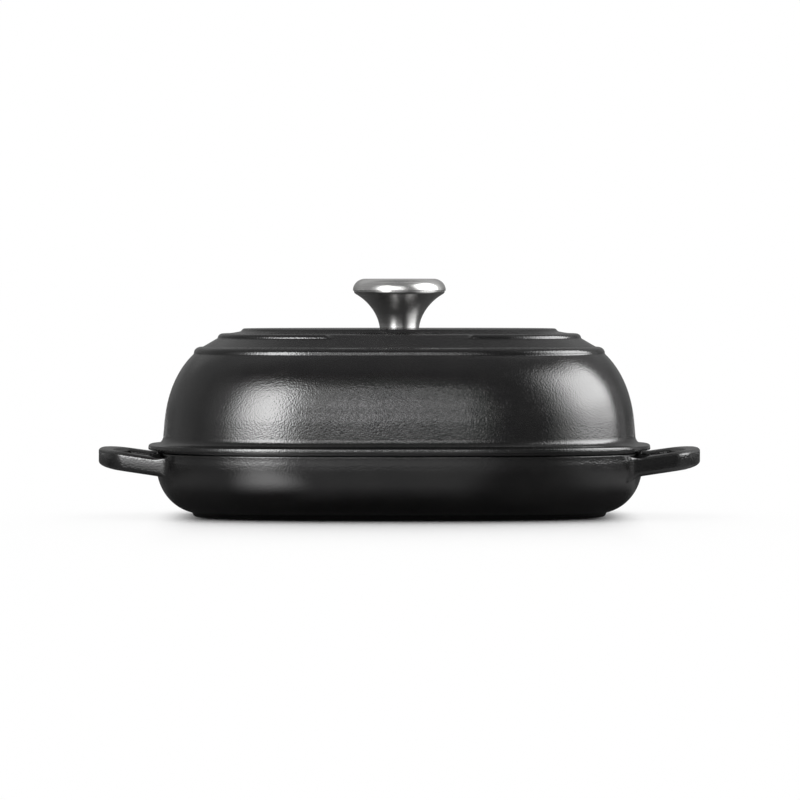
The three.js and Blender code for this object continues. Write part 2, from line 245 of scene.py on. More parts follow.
def dishProfile(d):
    # foot, belly (a quarter ellipse), band and rim outside, then the hollow, a quarter ellipse set in by the
    # wall; the band steps in by leanIn * a smooth rise from 0 to 1
    rows = d["rows"]
    top = d["height"] - d["rimBand"]
    reach = d["bellyReach"]
    footIn = reach - d["footTuck"]
    start = -math.degrees(math.acos((d["footTuck"] + d["footFlare"]) / reach))
    r = d["footRound"]
    foot = arc((footIn + r, r), (-r, r), -90, 0, rows["foot"])
    belly = arc((reach, top), (-reach, top - d["bellyLift"]), start, 0, rows["belly"])
    level = np.linspace(top, d["height"] - d["rimRound"], rows["band"] + 1)
    band = np.column_stack([d["leanIn"] * smooth((level - d["leanFrom"]) / d["leanRise"]), level])
    r = d["rimRound"]
    rim = arc((d["leanIn"] + r, d["height"] - r), (-r, r), 0, 90, rows["rim"])
    r = d["rimEase"]
    ease = arc((d["wall"] - r, d["height"] - r), (r, r), 90, 0, rows["ease"])
    inBand = line(ease[-1], (d["wall"], top), rows["inBand"])
    hollow = arc((d["wall"] + reach, top), (-reach, top - d["floor"]), 0, -90, rows["hollow"])
    return chain(foot, belly, band, rim, ease, inBand, hollow)


def barSection(h):
    # a rectangle with elliptical corners, anticlockwise, as [outwards, upwards] from the bar's middle
    across, up = h["barRound"]
    side, rise = h["barWidth"] / 2 - across, h["barHeight"] / 2 - up
    corners = [(side, rise), (-side, rise), (-side, -rise), (side, -rise)]
    steps = h["rows"]["section"]
    return np.vstack([arc(c, (across, up), 90 * k, 90 * k + 90, steps) for k, c in enumerate(corners)])


def handlePath(plan, h):
    # middle line of one loop, from its leg's end round the tip to the other leg's end, with headings: a
    # corner circle that touches both the leaning leg and the bowed tip, then the bow's own circle, then the
    # mirror image. The corner's middle lies on the leg's line set in by the corner's radius, at
    # bow - corner from the bow's middle, which gives a quadratic equation.
    half = h["barWidth"] / 2
    side, bow, corner = h["width"] / 2 - half, h["tipBow"] - half, h["tipCorner"] - half
    lean = math.radians(h["taper"])
    slope = math.tan(lean)
    bowX = plan["halfLength"] + h["reach"] - h["tipBow"]
    rootX = float(ovalReach(plan, np.array(side)))
    start = side - corner * math.cos(lean) - (corner * math.sin(lean) - rootX) * slope
    middle = bowX + start * slope
    rest = bowX**2 + start**2 - (bow - corner) ** 2
    cornerX = (middle + math.sqrt(middle**2 - (1 + slope**2) * rest)) / (1 + slope**2)
    cornerY = start - cornerX * slope
    turn = math.degrees(math.atan2(cornerY, cornerX - bowX))
    bend = np.linspace(h["taper"] - 90, -turn, h["rows"]["corner"] + 1)
    tip = np.linspace(-turn, 0, h["rows"]["tip"] + 1)
    cornerArc = arc((cornerX, -cornerY), (corner, corner), bend[0], bend[-1], h["rows"]["corner"])
    tipArc = arc((bowX, 0), (bow, bow), tip[0], tip[-1], h["rows"]["tip"])
    there = np.vstack([
        np.column_stack([cornerArc, np.radians(bend + 90)]),
        np.column_stack([tipArc, np.radians(tip + 90)])[1:],
    ])
    back = there[-2::-1] * np.array([1, -1, -1]) + np.array([0, 0, np.pi])
    return np.vstack([there, back])


def rootShare(plan, h, x, face, side, run, rounds=30):
    # share of the way along the fillet at x: 0 at its start and 1 where the flared face meets the wall, a
    # place that repeated substitution into the face's straight line finds
    slope = math.tan(math.radians(h["taper"]))
    wall = face[0]
    for step in range(rounds):
        y = face[1] + (face[0] - wall) * slope + side * h["rootFlare"]
        wall = float(ovalReach(plan, np.array(y)))
    return np.clip((wall + run - x) / run, 0, 1)


def legGrid(plan, h, section, ring):
    # lines from inside the wall to the loop's first ring. Towards the wall the section loses its rounding,
    # flares with a power of the fillet's share, sweeps up and then rises to the rim, and drops at the lower
    # outer edge; each is a height or width * the smooth share of its own run.
    out, up = section[:, 0], section[:, 1]
    slope = math.tan(math.radians(h["taper"]))
    half = h["barWidth"] / 2
    faces = [np.abs(ring[k, :2]) for k in (np.argmax(out), np.argmin(out))]
    rootX = ovalReach(plan, h["width"] / 2 - half + out * (1 + h["rootFlare"] / half)) - h["rootDepth"]
    share = np.linspace(0, 1, h["rows"]["root"] + 1)[:-1, None]
    legX = rootX * (1 - share) + ring[:, 0] * share
    legY = ring[:, 1] - (ring[:, 0] - legX) * slope
    runs = [(0, h["rootRun"]), (0, [h["sweepRun"]] * 2), (h["riseLag"], [h["riseRun"]] * 2)]
    along, slow, quick = [
        np.where(out > 0, *[
            rootShare(plan, h, legX + lag, face, side, length)
            for face, side, length in zip(faces, (1, -1), run)
        ])
        for lag, run in runs
    ]
    crisp = (np.sign(out) * half - out) * h["rootCrisp"] * smooth(slow)
    legY = legY - crisp - along ** h["flarePower"] * h["rootFlare"] * (out + crisp) / half
    top = h["barHeight"] / 2
    edge = top - h["barRound"][1]
    sweep, rise = [np.interp(up, [-edge, edge, top], [0, *h[key]]) for key in ("rootSweep", "rootRise")]
    fall = h["rootDrop"] * (up <= -edge) * (out > 0)
    legZ = up + smooth(slow) * sweep + smooth(quick) * rise - smooth(along) * fall
    return np.stack([legX, legY, legZ], axis=-1)


def handleGrid(plan, h):
    # the bar's section carried along the middle line, with a leg at both ends that runs into the wall; all
    # of it rises with tan(tilt) * the distance from the dish, so that the faces stay upright
    section = barSection(h)
    path = handlePath(plan, h)
    out, up = section[:, 0], section[:, 1]
    x = path[:, :1] + out * np.sin(path[:, 2:])
    y = path[:, 1:2] - out * np.cos(path[:, 2:])
    loopPart = np.stack([x, y, np.repeat(up[None], len(path), 0)], axis=-1)
    leg = legGrid(plan, h, section, loopPart[0])
    back = (leg * np.array([1, -1, 1]))[::-1]
    grid = np.concatenate([leg, loopPart, back])
    ends = [np.repeat(grid[r].mean(0)[None, None], len(out), 1) for r in (0, -1)]
    grid = np.concatenate([ends[0], grid, ends[1]])
    away = grid[..., 0] - plan["halfLength"]
    tilt = math.radians(h["tilt"])
    height = dishShape["height"] - h["drop"] + away * math.tan(tilt) + grid[..., 2]
    return np.stack([grid[..., 0], grid[..., 1], height], axis=-1)


def joinShells(body, others, sharp):
    # one closed skin from shells that run into each other
    for other in others:
        join = body.modifiers.new("join", "BOOLEAN")
        join.operation = "UNION"
        join.solver = "EXACT"
        join.object = other
    depsgraph = bpy.context.evaluated_depsgraph_get()
    mesh = bpy.data.meshes.new_from_object(body.evaluated_get(depsgraph))
    name = body.name
    for old in (body, *others):
        bpy.data.objects.remove(old)
    mesh.name = name
    return finishMesh(name, mesh, sharp)


dishShell = gridMesh("dish_casting", ovalGrid(ovenPlan, dishProfile(dishShape)))
rightGrid = handleGrid(ovenPlan, handleShape)
rightBar = gridMesh("right_bar", rightGrid)
leftBar = gridMesh("left_bar", rightGrid * np.array([-1, -1, 1]))
dishCasting = joinShells(dishShell, [rightBar, leftBar], dishShape["sharp"])
print("dish:", len(dishCasting.data.polygons), "faces")

# lid; its steps are pairs of reach and rise, with the radii of their hollow foot and round brow
lidShape = {
    "seamGap": 1.5,
    "seatInset": 1.8,
    "lipClearance": 0.6,
    "lipDepth": 3.0,
    "lipWidth": 3.2,
    "lipRound": 0.5,
    "flangeOverhang": 5.0,
    "flangeThickness": 2.8,
    "flangeRound": (0.4, 0.5, 2.2),  # radius of the lower edge, reach and rise of the upper one
    "flangeFillet": 5.8,
    "inset": 4.3,
    "wall": 4.2,
    "draft": 0.085,
    "wallRise": 8.4,
    "shoulderReach": 17.8,
    "shoulderRise": 41.9,
    "shoulderEase": 15.0,
    "shoulderTurn": 15.7,
    "shoulderAngle": 46.0,
    "outerStep": (4.2, 4.6),
    "outerRadii": (1.5, 3.75),
    "ledge": 1.5,
    "ramp": (9.1, 5.3),
    "innerStep": (3.3, 3.1),
    "innerRadii": (1.2, 2.85),
    "innerEnd": 0.5,  # degrees of slope where the inner step's brow ends
    "crown": (11.0, 1.3),
    "topStep": (2.5, 1.8),
    "topRadii": (1.5, 1.0),
    "roofEase": 5.0,  # how gently the roof's underside turns down
    "breakHalf": 44.0,  # half-length of the plain stretch at the front of the inner step
    "breakEase": 3.0,  # rounding of its two ends
    "hole": 3.5,
    "hubRows": 6,
    "insideRows": {"roof": 12, "shoulder": 22, "wall": 6, "lip": 2, "lipRound": 4},
    "outsideRows": {"lowEdge": 5, "topEdge": 12, "fillet": 14, "wall": 4, "shoulder": 44},
    "stepRows": {"outer": 9, "ledge": 2, "ramp": 8, "inner": 8, "crown": 12, "top": 5},
}


def lidLevels(d):
    # the lid's insets and heights from the seam to the flat top
    flangeTop = dishShape["height"] + d["seamGap"] + d["flangeThickness"]
    wallFoot = flangeTop + d["flangeFillet"]
    shoulder = np.array([d["inset"] + d["wallRise"] * d["draft"], wallFoot + d["wallRise"]])
    outer = shoulder + (d["shoulderReach"], d["shoulderRise"])
    ledge = outer + d["outerStep"]
    ramp = ledge + (d["ledge"], 0)
    inner = ramp + d["ramp"]
    crown = inner + d["innerStep"]
    edge = crown + d["crown"]
    return {
        "flangeTop": flangeTop,
        "wallFoot": wallFoot,
        "shoulder": shoulder,
        "outer": outer,
        "ledge": ledge,
        "ramp": ramp,
        "inner": inner,
        "crown": crown,
        "edge": edge,
        "top": edge + d["topStep"],
    }


def shoulderCurve(d, levels, offset, steps):
    # a Bezier from the leaning wall to the slope at the outer step; the inside is the same curve set in by
    # the wall
    lean = math.radians(d["shoulderAngle"])
    start = levels["shoulder"] + (offset, 0)
    end = levels["outer"] + (offset * math.cos(lean), -offset * math.sin(lean))
    return bezier([
        start,
        start + np.array([d["shoulderEase"] * d["draft"], d["shoulderEase"]]),
        end - d["shoulderTurn"] * np.array([math.sin(lean), math.cos(lean)]),
        end,
    ], steps)


def lidInside(d, levels):
    # the roof, a Bezier from level to the mean slope of the ramp and inner step, then the shoulder and wall
    # down to the lip, and the seat out to the flange
    rows = d["insideRows"]
    rim = dishShape["height"]
    under = levels["top"][1] - d["wall"]
    climb = levels["crown"] - levels["ramp"]
    slope = math.atan2(climb[1], climb[0])
    underStep = levels["inner"] + d["wall"] * np.array([math.sin(slope), -math.cos(slope)])
    ease = d["roofEase"]
    roof = bezier([
        (levels["top"][0], under),
        (levels["top"][0] - ease, under),
        underStep + np.array([ease, ease * math.tan(slope)]),
        underStep,
    ], rows["roof"])
    lipIn = dishShape["wall"] + d["lipClearance"]
    lipOut, lipLow, r = lipIn + d["lipWidth"], rim - d["lipDepth"], d["lipRound"]
    foot = (d["inset"] + d["wall"], levels["wallFoot"])
    return chain(
        roof,
        shoulderCurve(d, levels, d["wall"], rows["shoulder"])[::-1],
        line(foot, (lipOut, rim), rows["wall"]),
        line((lipOut, rim), (lipOut, lipLow + r), rows["lip"]),
        arc((lipOut - r, lipLow + r), (r, r), 0, -90, rows["lipRound"]),
        arc((lipIn + r, lipLow + r), (-r, r), -90, 0, rows["lipRound"]),
        (lipIn, rim),
        (d["seatInset"], rim),
        (d["seatInset"], levels["flangeTop"] - d["flangeThickness"]),
    )


def lidProfile(d, levels):
    # inside, flange, wall, shoulder, outer step, ledge and ramp; then the inner step, a crown that rises
    # with the square of the way in, and the sloped edge of the top. The second value is the row where the
    # inner step starts.
    rows, steps = d["outsideRows"], d["stepRows"]
    low, reach, rise = d["flangeRound"]
    out, top, f = -d["flangeOverhang"], levels["flangeTop"], d["flangeFillet"]
    rampSlope = math.degrees(math.atan2(d["ramp"][1], d["ramp"][0]))
    outerSlopes = (90 - d["shoulderAngle"], 0)
    lower = chain(
        lidInside(d, levels),
        arc((out + low, top - d["flangeThickness"] + low), (-low, low), -90, 0, rows["lowEdge"]),
        arc((out + reach, top - rise), (-reach, rise), 0, 90, rows["topEdge"]),
        arc((d["inset"] - f, levels["wallFoot"]), (f, f), -90, 0, rows["fillet"]),
        line((d["inset"], levels["wallFoot"]), levels["shoulder"], rows["wall"]),
        shoulderCurve(d, levels, 0, rows["shoulder"]),
        stepCurve(levels["outer"], d["outerStep"], outerSlopes, d["outerRadii"], steps["outer"]),
        line(levels["ledge"], levels["ramp"], steps["ledge"]),
        line(levels["ramp"], levels["inner"], steps["ramp"]),
    )
    share = np.linspace(0, 1, steps["crown"] + 1)[:, None]
    crown = levels["crown"] + np.hstack([share, share**2]) * d["crown"]
    crownSlope = math.degrees(math.atan2(2 * d["crown"][1], d["crown"][0]))
    innerSlopes = (rampSlope, d["innerEnd"])
    upper = chain(
        stepCurve(levels["inner"], d["innerStep"], innerSlopes, d["innerRadii"], steps["inner"]),
        crown,
        stepCurve(levels["edge"], d["topStep"], (crownSlope, 0), d["topRadii"], steps["top"]),
    )
    return chain(lower, upper), len(lower)


def lidGrid(plan, d):
    # the profile as oval rings; at the front the inner step gives way to the ramp's own slope, carried
    # straight on: height = height - front * (how far the surface stands above that slope)
    levels = lidLevels(d)
    profile, stepRow = lidProfile(d, levels)
    grid = ovalGrid(plan, profile, d["hole"], d["hubRows"])
    firstRow = d["hubRows"] - 1
    rows = slice(firstRow + stepRow, firstRow + len(profile))
    part = grid[rows]
    ramp = levels["inner"][1] + (profile[stepRow:, 0] - levels["inner"][0]) * d["ramp"][1] / d["ramp"][0]
    above = np.clip(part[..., 2] - ramp[:, None], 0, None)
    into = (d["breakHalf"] + d["breakEase"] / 2 - np.abs(part[..., 0])) / d["breakEase"]
    part[..., 2] -= above * smooth(into) * (part[..., 1] < 0)
    grid[rows] = part
    return grid


lidCasting = gridMesh("lid_casting", lidGrid(ovenPlan, lidShape), loop=True)
print("lid:", len(lidCasting.data.polygons), "faces")

# knob, screw and washer, as turned profiles of [radius, height]
lidTop = float(lidLevels(lidShape)["top"][1])
roofUnder = lidTop - lidShape["wall"]
knobShape = {
    "footRadius": 12.3,
    "height": 23.5,
    "rimRadius": 28.4,
    "wall": 1.2,
    "waistRise": 9.0,
    "waistFlare": 0.7,
    "trumpet": (6.9, 4.0),
    "brim": (1.8, 2.4),  # rounded brim that ends the flare
    "brimStart": 0.14,  # share of the flare's own direction with which the brim starts
    "brimEnd": (0.15, 1.0),
    "hole": 3.5,
    "edgeRound": 0.35,
    "capRadius": 29.0,
    "capBand": 0.5,
    "capShoulder": (7.6, 7.1),
    "capWall": 1.2,
    "capRing": 0.6,  # share of the flat top's radius where its first ring lies
    "around": 160,
    "rows": {"edge": 5, "flare": 40, "brim": 10},
    "capRows": {"inside": 20, "band": 3, "shoulder": 32, "top": 4},
}
fixingShape = {
    "bushRadius": 8.0,
    "bushHeight": 16.0,
    "bushEase": 0.5,
    "bore": 3.3,
    "boreStop": 0.05,  # how far above the bush's foot the bore's last row lies
    "screwRadius": 3.0,
    "pitch": 1.0,
    "threadDepth": 0.24,
    "engagement": 12.0,
    "tipEase": (0.5, 0.6),
    "headRadius": 5.5,
    "headHeight": 3.6,
    "headEase": 0.15,
    "drive": (6.4, 1.3, 1.8),  # length, width and depth of the cross recess
    "driveEase": 0.3,  # width of the recess's sloping sides
    "washerRadius": 8.0,
    "washerHole": 3.5,
    "washerThickness": 1.2,
    "edgeRound": 0.25,
    "around": 96,
    "rows": {"bore": 160, "head": 60, "shank": 280, "edge": 4},
}


def turned(profile, around):
    # a profile of [radius, height] spun round the z axis
    turn = np.linspace(0, 2 * np.pi, around, endpoint=False)
    radius, height = profile[:, :1], profile[:, 1:2]
    return np.stack([radius * np.cos(turn), radius * np.sin(turn), np.repeat(height, around, 1)], axis=-1)


def trumpetCurve(k, offset, start):
    # a Bezier that stays slim at the waist and flares to the brim
    foot = np.array([k["footRadius"] - offset, start])
    waist = (foot[0] + k["waistFlare"], k["waistRise"])
    brim = np.array([k["rimRadius"] - offset, k["height"]]) - k["brim"]
    return bezier([foot, waist, brim - np.array(k["trumpet"]), brim], k["rows"]["flare"])


def trumpetProfile(k):
    # flat foot with a small round, the flare outside, a brim that rolls up to the seam by a Bezier, and the
    # flare again inside
    e, rows = k["edgeRound"], k["rows"]
    radius, height = k["rimRadius"], k["height"]
    outside = trumpetCurve(k, 0, 0)
    foot = arc((k["footRadius"] - e, e), (e, e), -90, 0, rows["edge"])
    start, rim = outside[-1], np.array([radius, height - e])
    leave = start + k["brimStart"] * np.array(k["trumpet"])
    roll = bezier([start, leave, rim - np.array(k["brimEnd"]), rim], rows["brim"])
    lip = arc((radius - e, height - e), (e, e), 0, 90, rows["edge"])
    inside = trumpetCurve(k, k["wall"], k["wall"])[::-1]
    return chain(
        (k["hole"], 0),
        foot,
        outside[outside[:, 1] > e],
        roll,
        lip,
        (radius - k["wall"], height),
        inside,
        (k["hole"], k["wall"]),
    ) + (0, lidTop)


def capProfile(k):
    # inside from the axis to the edge, a rounded lower edge, the band and shoulder (a quarter ellipse), and
    # the flat top
    reach, rise = k["capShoulder"]
    e, rows, wall = k["edgeRound"], k["capRows"], k["capWall"]
    radius, low = k["capRadius"], k["height"]
    flat, edgeTop = radius - reach, low + k["capBand"]
    top = edgeTop + rise
    inside = arc((flat, edgeTop), (reach - wall, rise - wall), 90, 0, rows["inside"])
    lowEdge = arc((radius - e, low + e), (e, e), -90, 0, k["rows"]["edge"])
    outside = arc((flat, edgeTop), (reach, rise), 0, 90, rows["shoulder"])
    return chain(
        (0, top - wall),
        inside,
        (radius - wall, low),
        lowEdge,
        line(lowEdge[-1], outside[0], rows["band"]),
        outside,
        line((flat * k["capRing"], top), (0, top), rows["top"]),
    ) + (0, lidTop)


def threadWave(height, turn, pitch):
    # triangle wave between 0 and 1 that climbs one pitch a turn
    phase = np.mod(height / pitch - turn / (2 * np.pi), 1)
    return 1 - np.abs(2 * phase - 1)


def threaded(grid, rows, low, high, f):
    # draws rows of a turned grid in by the thread's wave, fading to nothing over half a pitch at both ends
    part = grid[rows]
    turn = np.arctan2(part[..., 1], part[..., 0])
    z = part[..., 2]
    fade = smooth((z - low) / f["pitch"] * 2) * smooth((high - z) / f["pitch"] * 2)
    radius = np.hypot(part[..., 0], part[..., 1])
    part[..., :2] *= (1 - f["threadDepth"] * fade * threadWave(z, turn, f["pitch"]) / radius)[..., None]
    grid[rows] = part
    return grid


def bushGrid(f):
    # a plain bush with eased edges and a threaded bore
    low = lidTop + knobShape["wall"]
    high = low + f["bushHeight"]
    radius, bore, e = f["bushRadius"], f["bore"], f["bushEase"]
    outside = [(bore, low), (radius - e, low), (radius, low + e), (radius, high - e), (radius - e, high)]
    inside = line((bore, high), (bore, low + f["boreStop"]), f["rows"]["bore"])
    grid = turned(chain(*outside, inside), f["around"])
    return threaded(grid, slice(len(outside), None), low, high, f)


def screwGrid(f):
    # a domed head (a quarter ellipse), then the shank, threaded above the lid, with an eased tip. The cross
    # recess lifts the head by depth * smooth(way into the cross / its ease + 1/2).
    seat = roofUnder - f["washerThickness"]
    edge = f["headHeight"] / 2
    tip = lidTop + knobShape["wall"] + f["engagement"]
    radius, headRadius, e = f["screwRadius"], f["headRadius"], f["headEase"]
    tipReach, tipRise = f["tipEase"]
    head = arc((0, seat - edge), (headRadius, edge), -90, 0, f["rows"]["head"])
    shank = line((radius, seat), (radius, tip - tipRise), f["rows"]["shank"])
    collar = [(headRadius, seat - e), (headRadius - e, seat)]
    grid = turned(chain(head, *collar, shank, (radius - tipReach, tip), (0, tip)), f["around"])
    length, width, depth = f["drive"]
    rows = len(head)
    x, y = np.abs(grid[:rows, :, 0]), np.abs(grid[:rows, :, 1])
    slotAlong = np.minimum(length / 2 - x, width / 2 - y)
    slotAcross = np.minimum(width / 2 - x, length / 2 - y)
    grid[:rows, :, 2] += depth * smooth(np.maximum(slotAlong, slotAcross) / f["driveEase"] + 0.5)
    first = rows + len(collar)
    return threaded(grid, slice(first, first + len(shank)), lidTop, tip, f)


def washerProfile(f):
    # a flat ring with eased edges
    e, t, steps = f["edgeRound"], f["washerThickness"], f["rows"]["edge"]
    hole, rim = f["washerHole"] + e, f["washerRadius"] - e
    return chain(
        arc((hole, e - t), (-e, e), 0, -90, steps),
        arc((rim, e - t), (e, e), -90, 0, steps),
        arc((rim, -e), (e, e), 0, 90, steps),
        arc((hole, -e), (-e, e), 90, 0, steps),
    ) + (0, roofUnder)


knobTrumpet = gridMesh("knob_trumpet", turned(trumpetProfile(knobShape), knobShape["around"]), loop=True)
knobTop = gridMesh("knob_top", turned(capProfile(knobShape), knobShape["around"]))
knobBush = gridMesh("knob_bush", bushGrid(fixingShape), loop=True)
lidScrew = gridMesh("lid_screw", screwGrid(fixingShape))
lidWasher = gridMesh("lid_washer", turned(washerProfile(fixingShape), fixingShape["around"]), loop=True)
print("knob and fixings made")

# pieces with their bodies, nodes and slots
outfit = [
    (dishCasting, "dish", "base_dish", "black_enamel"),
    (lidCasting, "lid", "lid_dome", "black_enamel"),
    (knobTrumpet, "knob", "knob_stem", "knob_steel"),
    (knobTop, "knob", "knob_cap", "knob_steel"),
    (knobBush, "knob", "knob_insert", "fixing_steel"),
    (lidScrew, "screw", "knob_screw", "fixing_steel"),
    (lidWasher, "screw", "screw_washer", "fixing_steel"),
]
for piece, body, node, slot in outfit:
    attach(piece, body)
    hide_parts(node)


# shader maths
class Wire:
    # wraps a socket; the operators add Math nodes to its tree
    def __init__(self, tree, socket=None):
        self.tree, self.socket = tree, socket

    def node(self, kind, settings=None, inputs=None, output=0):
        made = self.tree.nodes.new(kind)
        for key, value in (settings or {}).items():
            setattr(made, key, value)
        for key, value in (inputs or {}).items():
            if isinstance(value, Wire):
                self.tree.links.new(value.socket, made.inputs[key])
            else:
                made.inputs[key].default_value = value
        return Wire(self.tree, made.outputs[output] if made.outputs else None)

    def others(self, *keys):
        return [Wire(self.tree, self.socket.node.outputs[key]) for key in keys]

    def place(self, kind):
        return self.node("ShaderNodeTexCoord", output=kind)

    def axes(self, *keys):
        return self.node("ShaderNodeSeparateXYZ", None, {"Vector": self}).others(*keys)

    def noise(self, scale, detail, **more):
        inputs = {"Vector": self, "Scale": scale, "Detail": detail, **more}
        return self.node("ShaderNodeTexNoise", None, inputs)

    def maths(self, operation, *values):
        return self.node("ShaderNodeMath", {"operation": operation}, dict(enumerate(values)))

    def __add__(self, other):
        return self.maths("ADD", self, other)

    def __sub__(self, other):
        return self.maths("SUBTRACT", self, other)

    def __rsub__(self, other):
        return self.maths("SUBTRACT", other, self)

    def __mul__(self, other):
        return self.maths("MULTIPLY", self, other)

    __radd__, __rmul__ = __add__, __mul__

    def ease(self, low, high):
        # smooth step from 0 at low to 1 at high; inputs 0 to 2 are the value and the two ends
        kind = {"interpolation_type": "SMOOTHSTEP"}
        return self.node("ShaderNodeMapRange", kind, {0: self, 1: low, 2: high})

    def blend(self, first, second):
        # colours mixed by this value; a Mix node's colour sockets are inputs 6 and 7 and output 2
        return self.node("ShaderNodeMix", {"data_type": "RGBA"}, {0: self, 6: first, 7: second}, 2)


def newMaterial(name):
    material = bpy.data.materials.new(name)
    material.use_nodes = True
    material.node_tree.nodes.clear()
    return material, Wire(material.node_tree)


def surface(wire, shader):
    wire.node("ShaderNodeOutputMaterial", None, {"Surface": shader})


def bump(wire, height, distance):
    return wire.node("ShaderNodeBump", None, {"Height": height, "Distance": distance, "Strength": 1.0})


# satin enamel: near-black glass whose orange-peel skin breaks up what it reflects; the rim that the lid sits
# on and the ground foot are duller
enamelLook = {
    "deep": (0.0055, 0.0055, 0.0058, 1),
    "thin": (0.009, 0.0088, 0.0086, 1),
    "thinOver": (0.35, 0.7),  # cloud values over which deep turns to thin
    "roughness": (0.09, 0.14),
    "roughOver": (0.3, 0.7),
    "dull": 0.5,
    "seatStart": (-0.0004, -0.0001),  # metres from the rim over which the dull seat starts and ends
    "seatEnd": (0.0009, 0.0012),
    "footEnd": (0.0001, 0.0004),
    "specular": 1.0,  # a dense glass
    "cloudScale": 55.0,
    "cloudDetail": 3.0,
    "peelScale": 1000.0,
    "peelDetail": 1.0,
    "peelRoughness": 0.35,
    "peelHeight": 0.00011,
    "dishPeel": 0.8,  # the dish's skin is smoother than the lid's
    "lidPeelRise": 0.003,
    "grainScale": 2600.0,
    "grainDetail": 1.0,
    "grainRough": 0.03,
    "grainPeel": 0.05,
}


def makeEnamel(look):
    material, wire = newMaterial("satin_enamel")
    place = wire.place("Object")
    height = place.axes("Z")[0]
    cloud = place.noise(look["cloudScale"], look["cloudDetail"])
    peel = place.noise(look["peelScale"], look["peelDetail"], Roughness=look["peelRoughness"])
    grain = place.noise(look["grainScale"], look["grainDetail"])
    rim = dishShape["height"] * mm
    start, end = [[rim + away for away in look[key]] for key in ("seatStart", "seatEnd")]
    seat = height.ease(*start) * (1 - height.ease(*end))
    worn = seat.maths("MAXIMUM", seat, 1 - height.ease(*look["footEnd"]))
    low, high = look["roughness"]
    gloss = low + (high - low) * cloud.ease(*look["roughOver"]) + grain * look["grainRough"]
    relief = look["dishPeel"] + (1 - look["dishPeel"]) * height.ease(rim, rim + look["lidPeelRise"])
    shader = wire.node("ShaderNodeBsdfPrincipled", None, {
        "Base Color": cloud.ease(*look["thinOver"]).blend(look["deep"], look["thin"]),
        "Roughness": gloss + (look["dull"] - gloss) * worn,
        "Specular IOR Level": look["specular"],
        "Normal": bump(wire, (peel + grain * look["grainPeel"]) * relief, look["peelHeight"]),
    })
    surface(wire, shader)
    return material


# turned stainless steel: fine rings round the axis, from a noise that only sees radius and height
steelLook = {
    "bright": (0.83, 0.825, 0.815, 1),
    "dull": (0.71, 0.705, 0.695, 1),
    "brightOver": (0.3, 0.7),
    "roughness": (0.20, 0.29),
    "ringShare": 0.6,  # how much of the roughness follows the rings; the rest follows the smears
    "rings": 5000.0,
    "ringDetail": 2.0,
    "ringHeight": 0.000012,
    "smearScale": 120.0,
    "smearDetail": 3.0,
}
fixingLook = {
    **steelLook,
    "bright": (0.50, 0.50, 0.50, 1),
    "dull": (0.33, 0.33, 0.335, 1),
    "roughness": (0.30, 0.46),
    "rings": 2400.0,
    "ringHeight": 0.000004,
}


def makeSteel(name, look):
    material, wire = newMaterial(name)
    place = wire.place("Object")
    x, y, z = place.axes("X", "Y", "Z")
    square = x * x + y * y
    radius = square.maths("SQRT", square)
    level = wire.node("ShaderNodeCombineXYZ", None, {"X": radius * look["rings"], "Y": z * look["rings"]})
    rings = wire.node("ShaderNodeTexNoise", {"noise_dimensions": "2D"}, {
        "Vector": level, "Scale": 1.0, "Detail": look["ringDetail"],
    })
    smear = place.noise(look["smearScale"], look["smearDetail"])
    low, high = look["roughness"]
    marks = rings * look["ringShare"] + smear * (1 - look["ringShare"])
    shader = wire.node("ShaderNodeBsdfPrincipled", None, {
        "Base Color": rings.ease(*look["brightOver"]).blend(look["dull"], look["bright"]),
        "Metallic": 1.0,
        "Roughness": low + (high - low) * marks,
        "Normal": bump(wire, rings, look["ringHeight"]),
    })
    surface(wire, shader)
    return material


finishes = {
    "black_enamel": makeEnamel(enamelLook),
    "knob_steel": makeSteel("turned_steel", steelLook),
    "fixing_steel": makeSteel("machined_steel", fixingLook),
}
for piece, body, node, slot in outfit:
    piece.data.materials.clear()
    piece.data.materials.append(finishes[slot])
print("materials made")

# stage: a white floor and surround, soft panels with a dim tent that only reflections see, and a floor card
# that only reflections see, which carries a painted shadow of the oven and painted reflections of the
# softboxes
stageLook = {
    "floorSize": 80.0,
    "floorDrop": 0.0003,
    "shadowEnds": (0.118, 0.155),  # where, left and right of the middle, the floor's shadow fades to white
    "shadowDepth": (0.2, 0.5),  # the same in front and behind
    "shadowFade": 0.85,
    "ambient": 1.0,
    "fromBehind": 1.0,  # how much more of the ambient light comes from behind than from the front
    "sideways": 0.85,  # how much less comes from the left and right
    "middle": (0.0, 0.0, 0.08),  # middle of the panels' spheres
}
white = (1, 1, 1, 1)


def directions(azimuth, elevation):
    # unit vectors; azimuth 0 points to the camera (-Y) and turns towards +X
    a, e = np.radians(azimuth), np.radians(elevation)
    return np.stack([np.sin(a) * np.cos(e), -np.cos(a) * np.cos(e), np.sin(e)], axis=-1)


def shares(steps):
    # a grid of u and v, both from 0 to 1
    return np.meshgrid(np.linspace(0, 1, steps[0]), np.linspace(0, 1, steps[1]))


def skyPatch(p):
    # a patch of a sphere round the oven, with u along its azimuths and v up
    u, v = shares(p["steps"])
    (left, right), (low, high) = p["azimuth"], p["elevation"]
    aim = directions(left + u * (right - left), low + v * (high - low))
    return aim * p["radius"] + np.array(stageLook["middle"]), u, v


def floorPatch(p):
    # an oval ring on the floor, with u round it from behind and v outwards: half-depth = near (far / near)^v,
    # and the half-length is longer by as much as the dish's is
    u, v = shares(p["steps"])
    depth = p["near"] * (p["far"] / p["near"]) ** v
    longer = (ovenPlan["halfLength"] - ovenPlan["halfDepth"]) * mm
    return directions(360 * u - 180, 0 * u) * np.stack([depth + longer, depth, depth], axis=-1), u, v


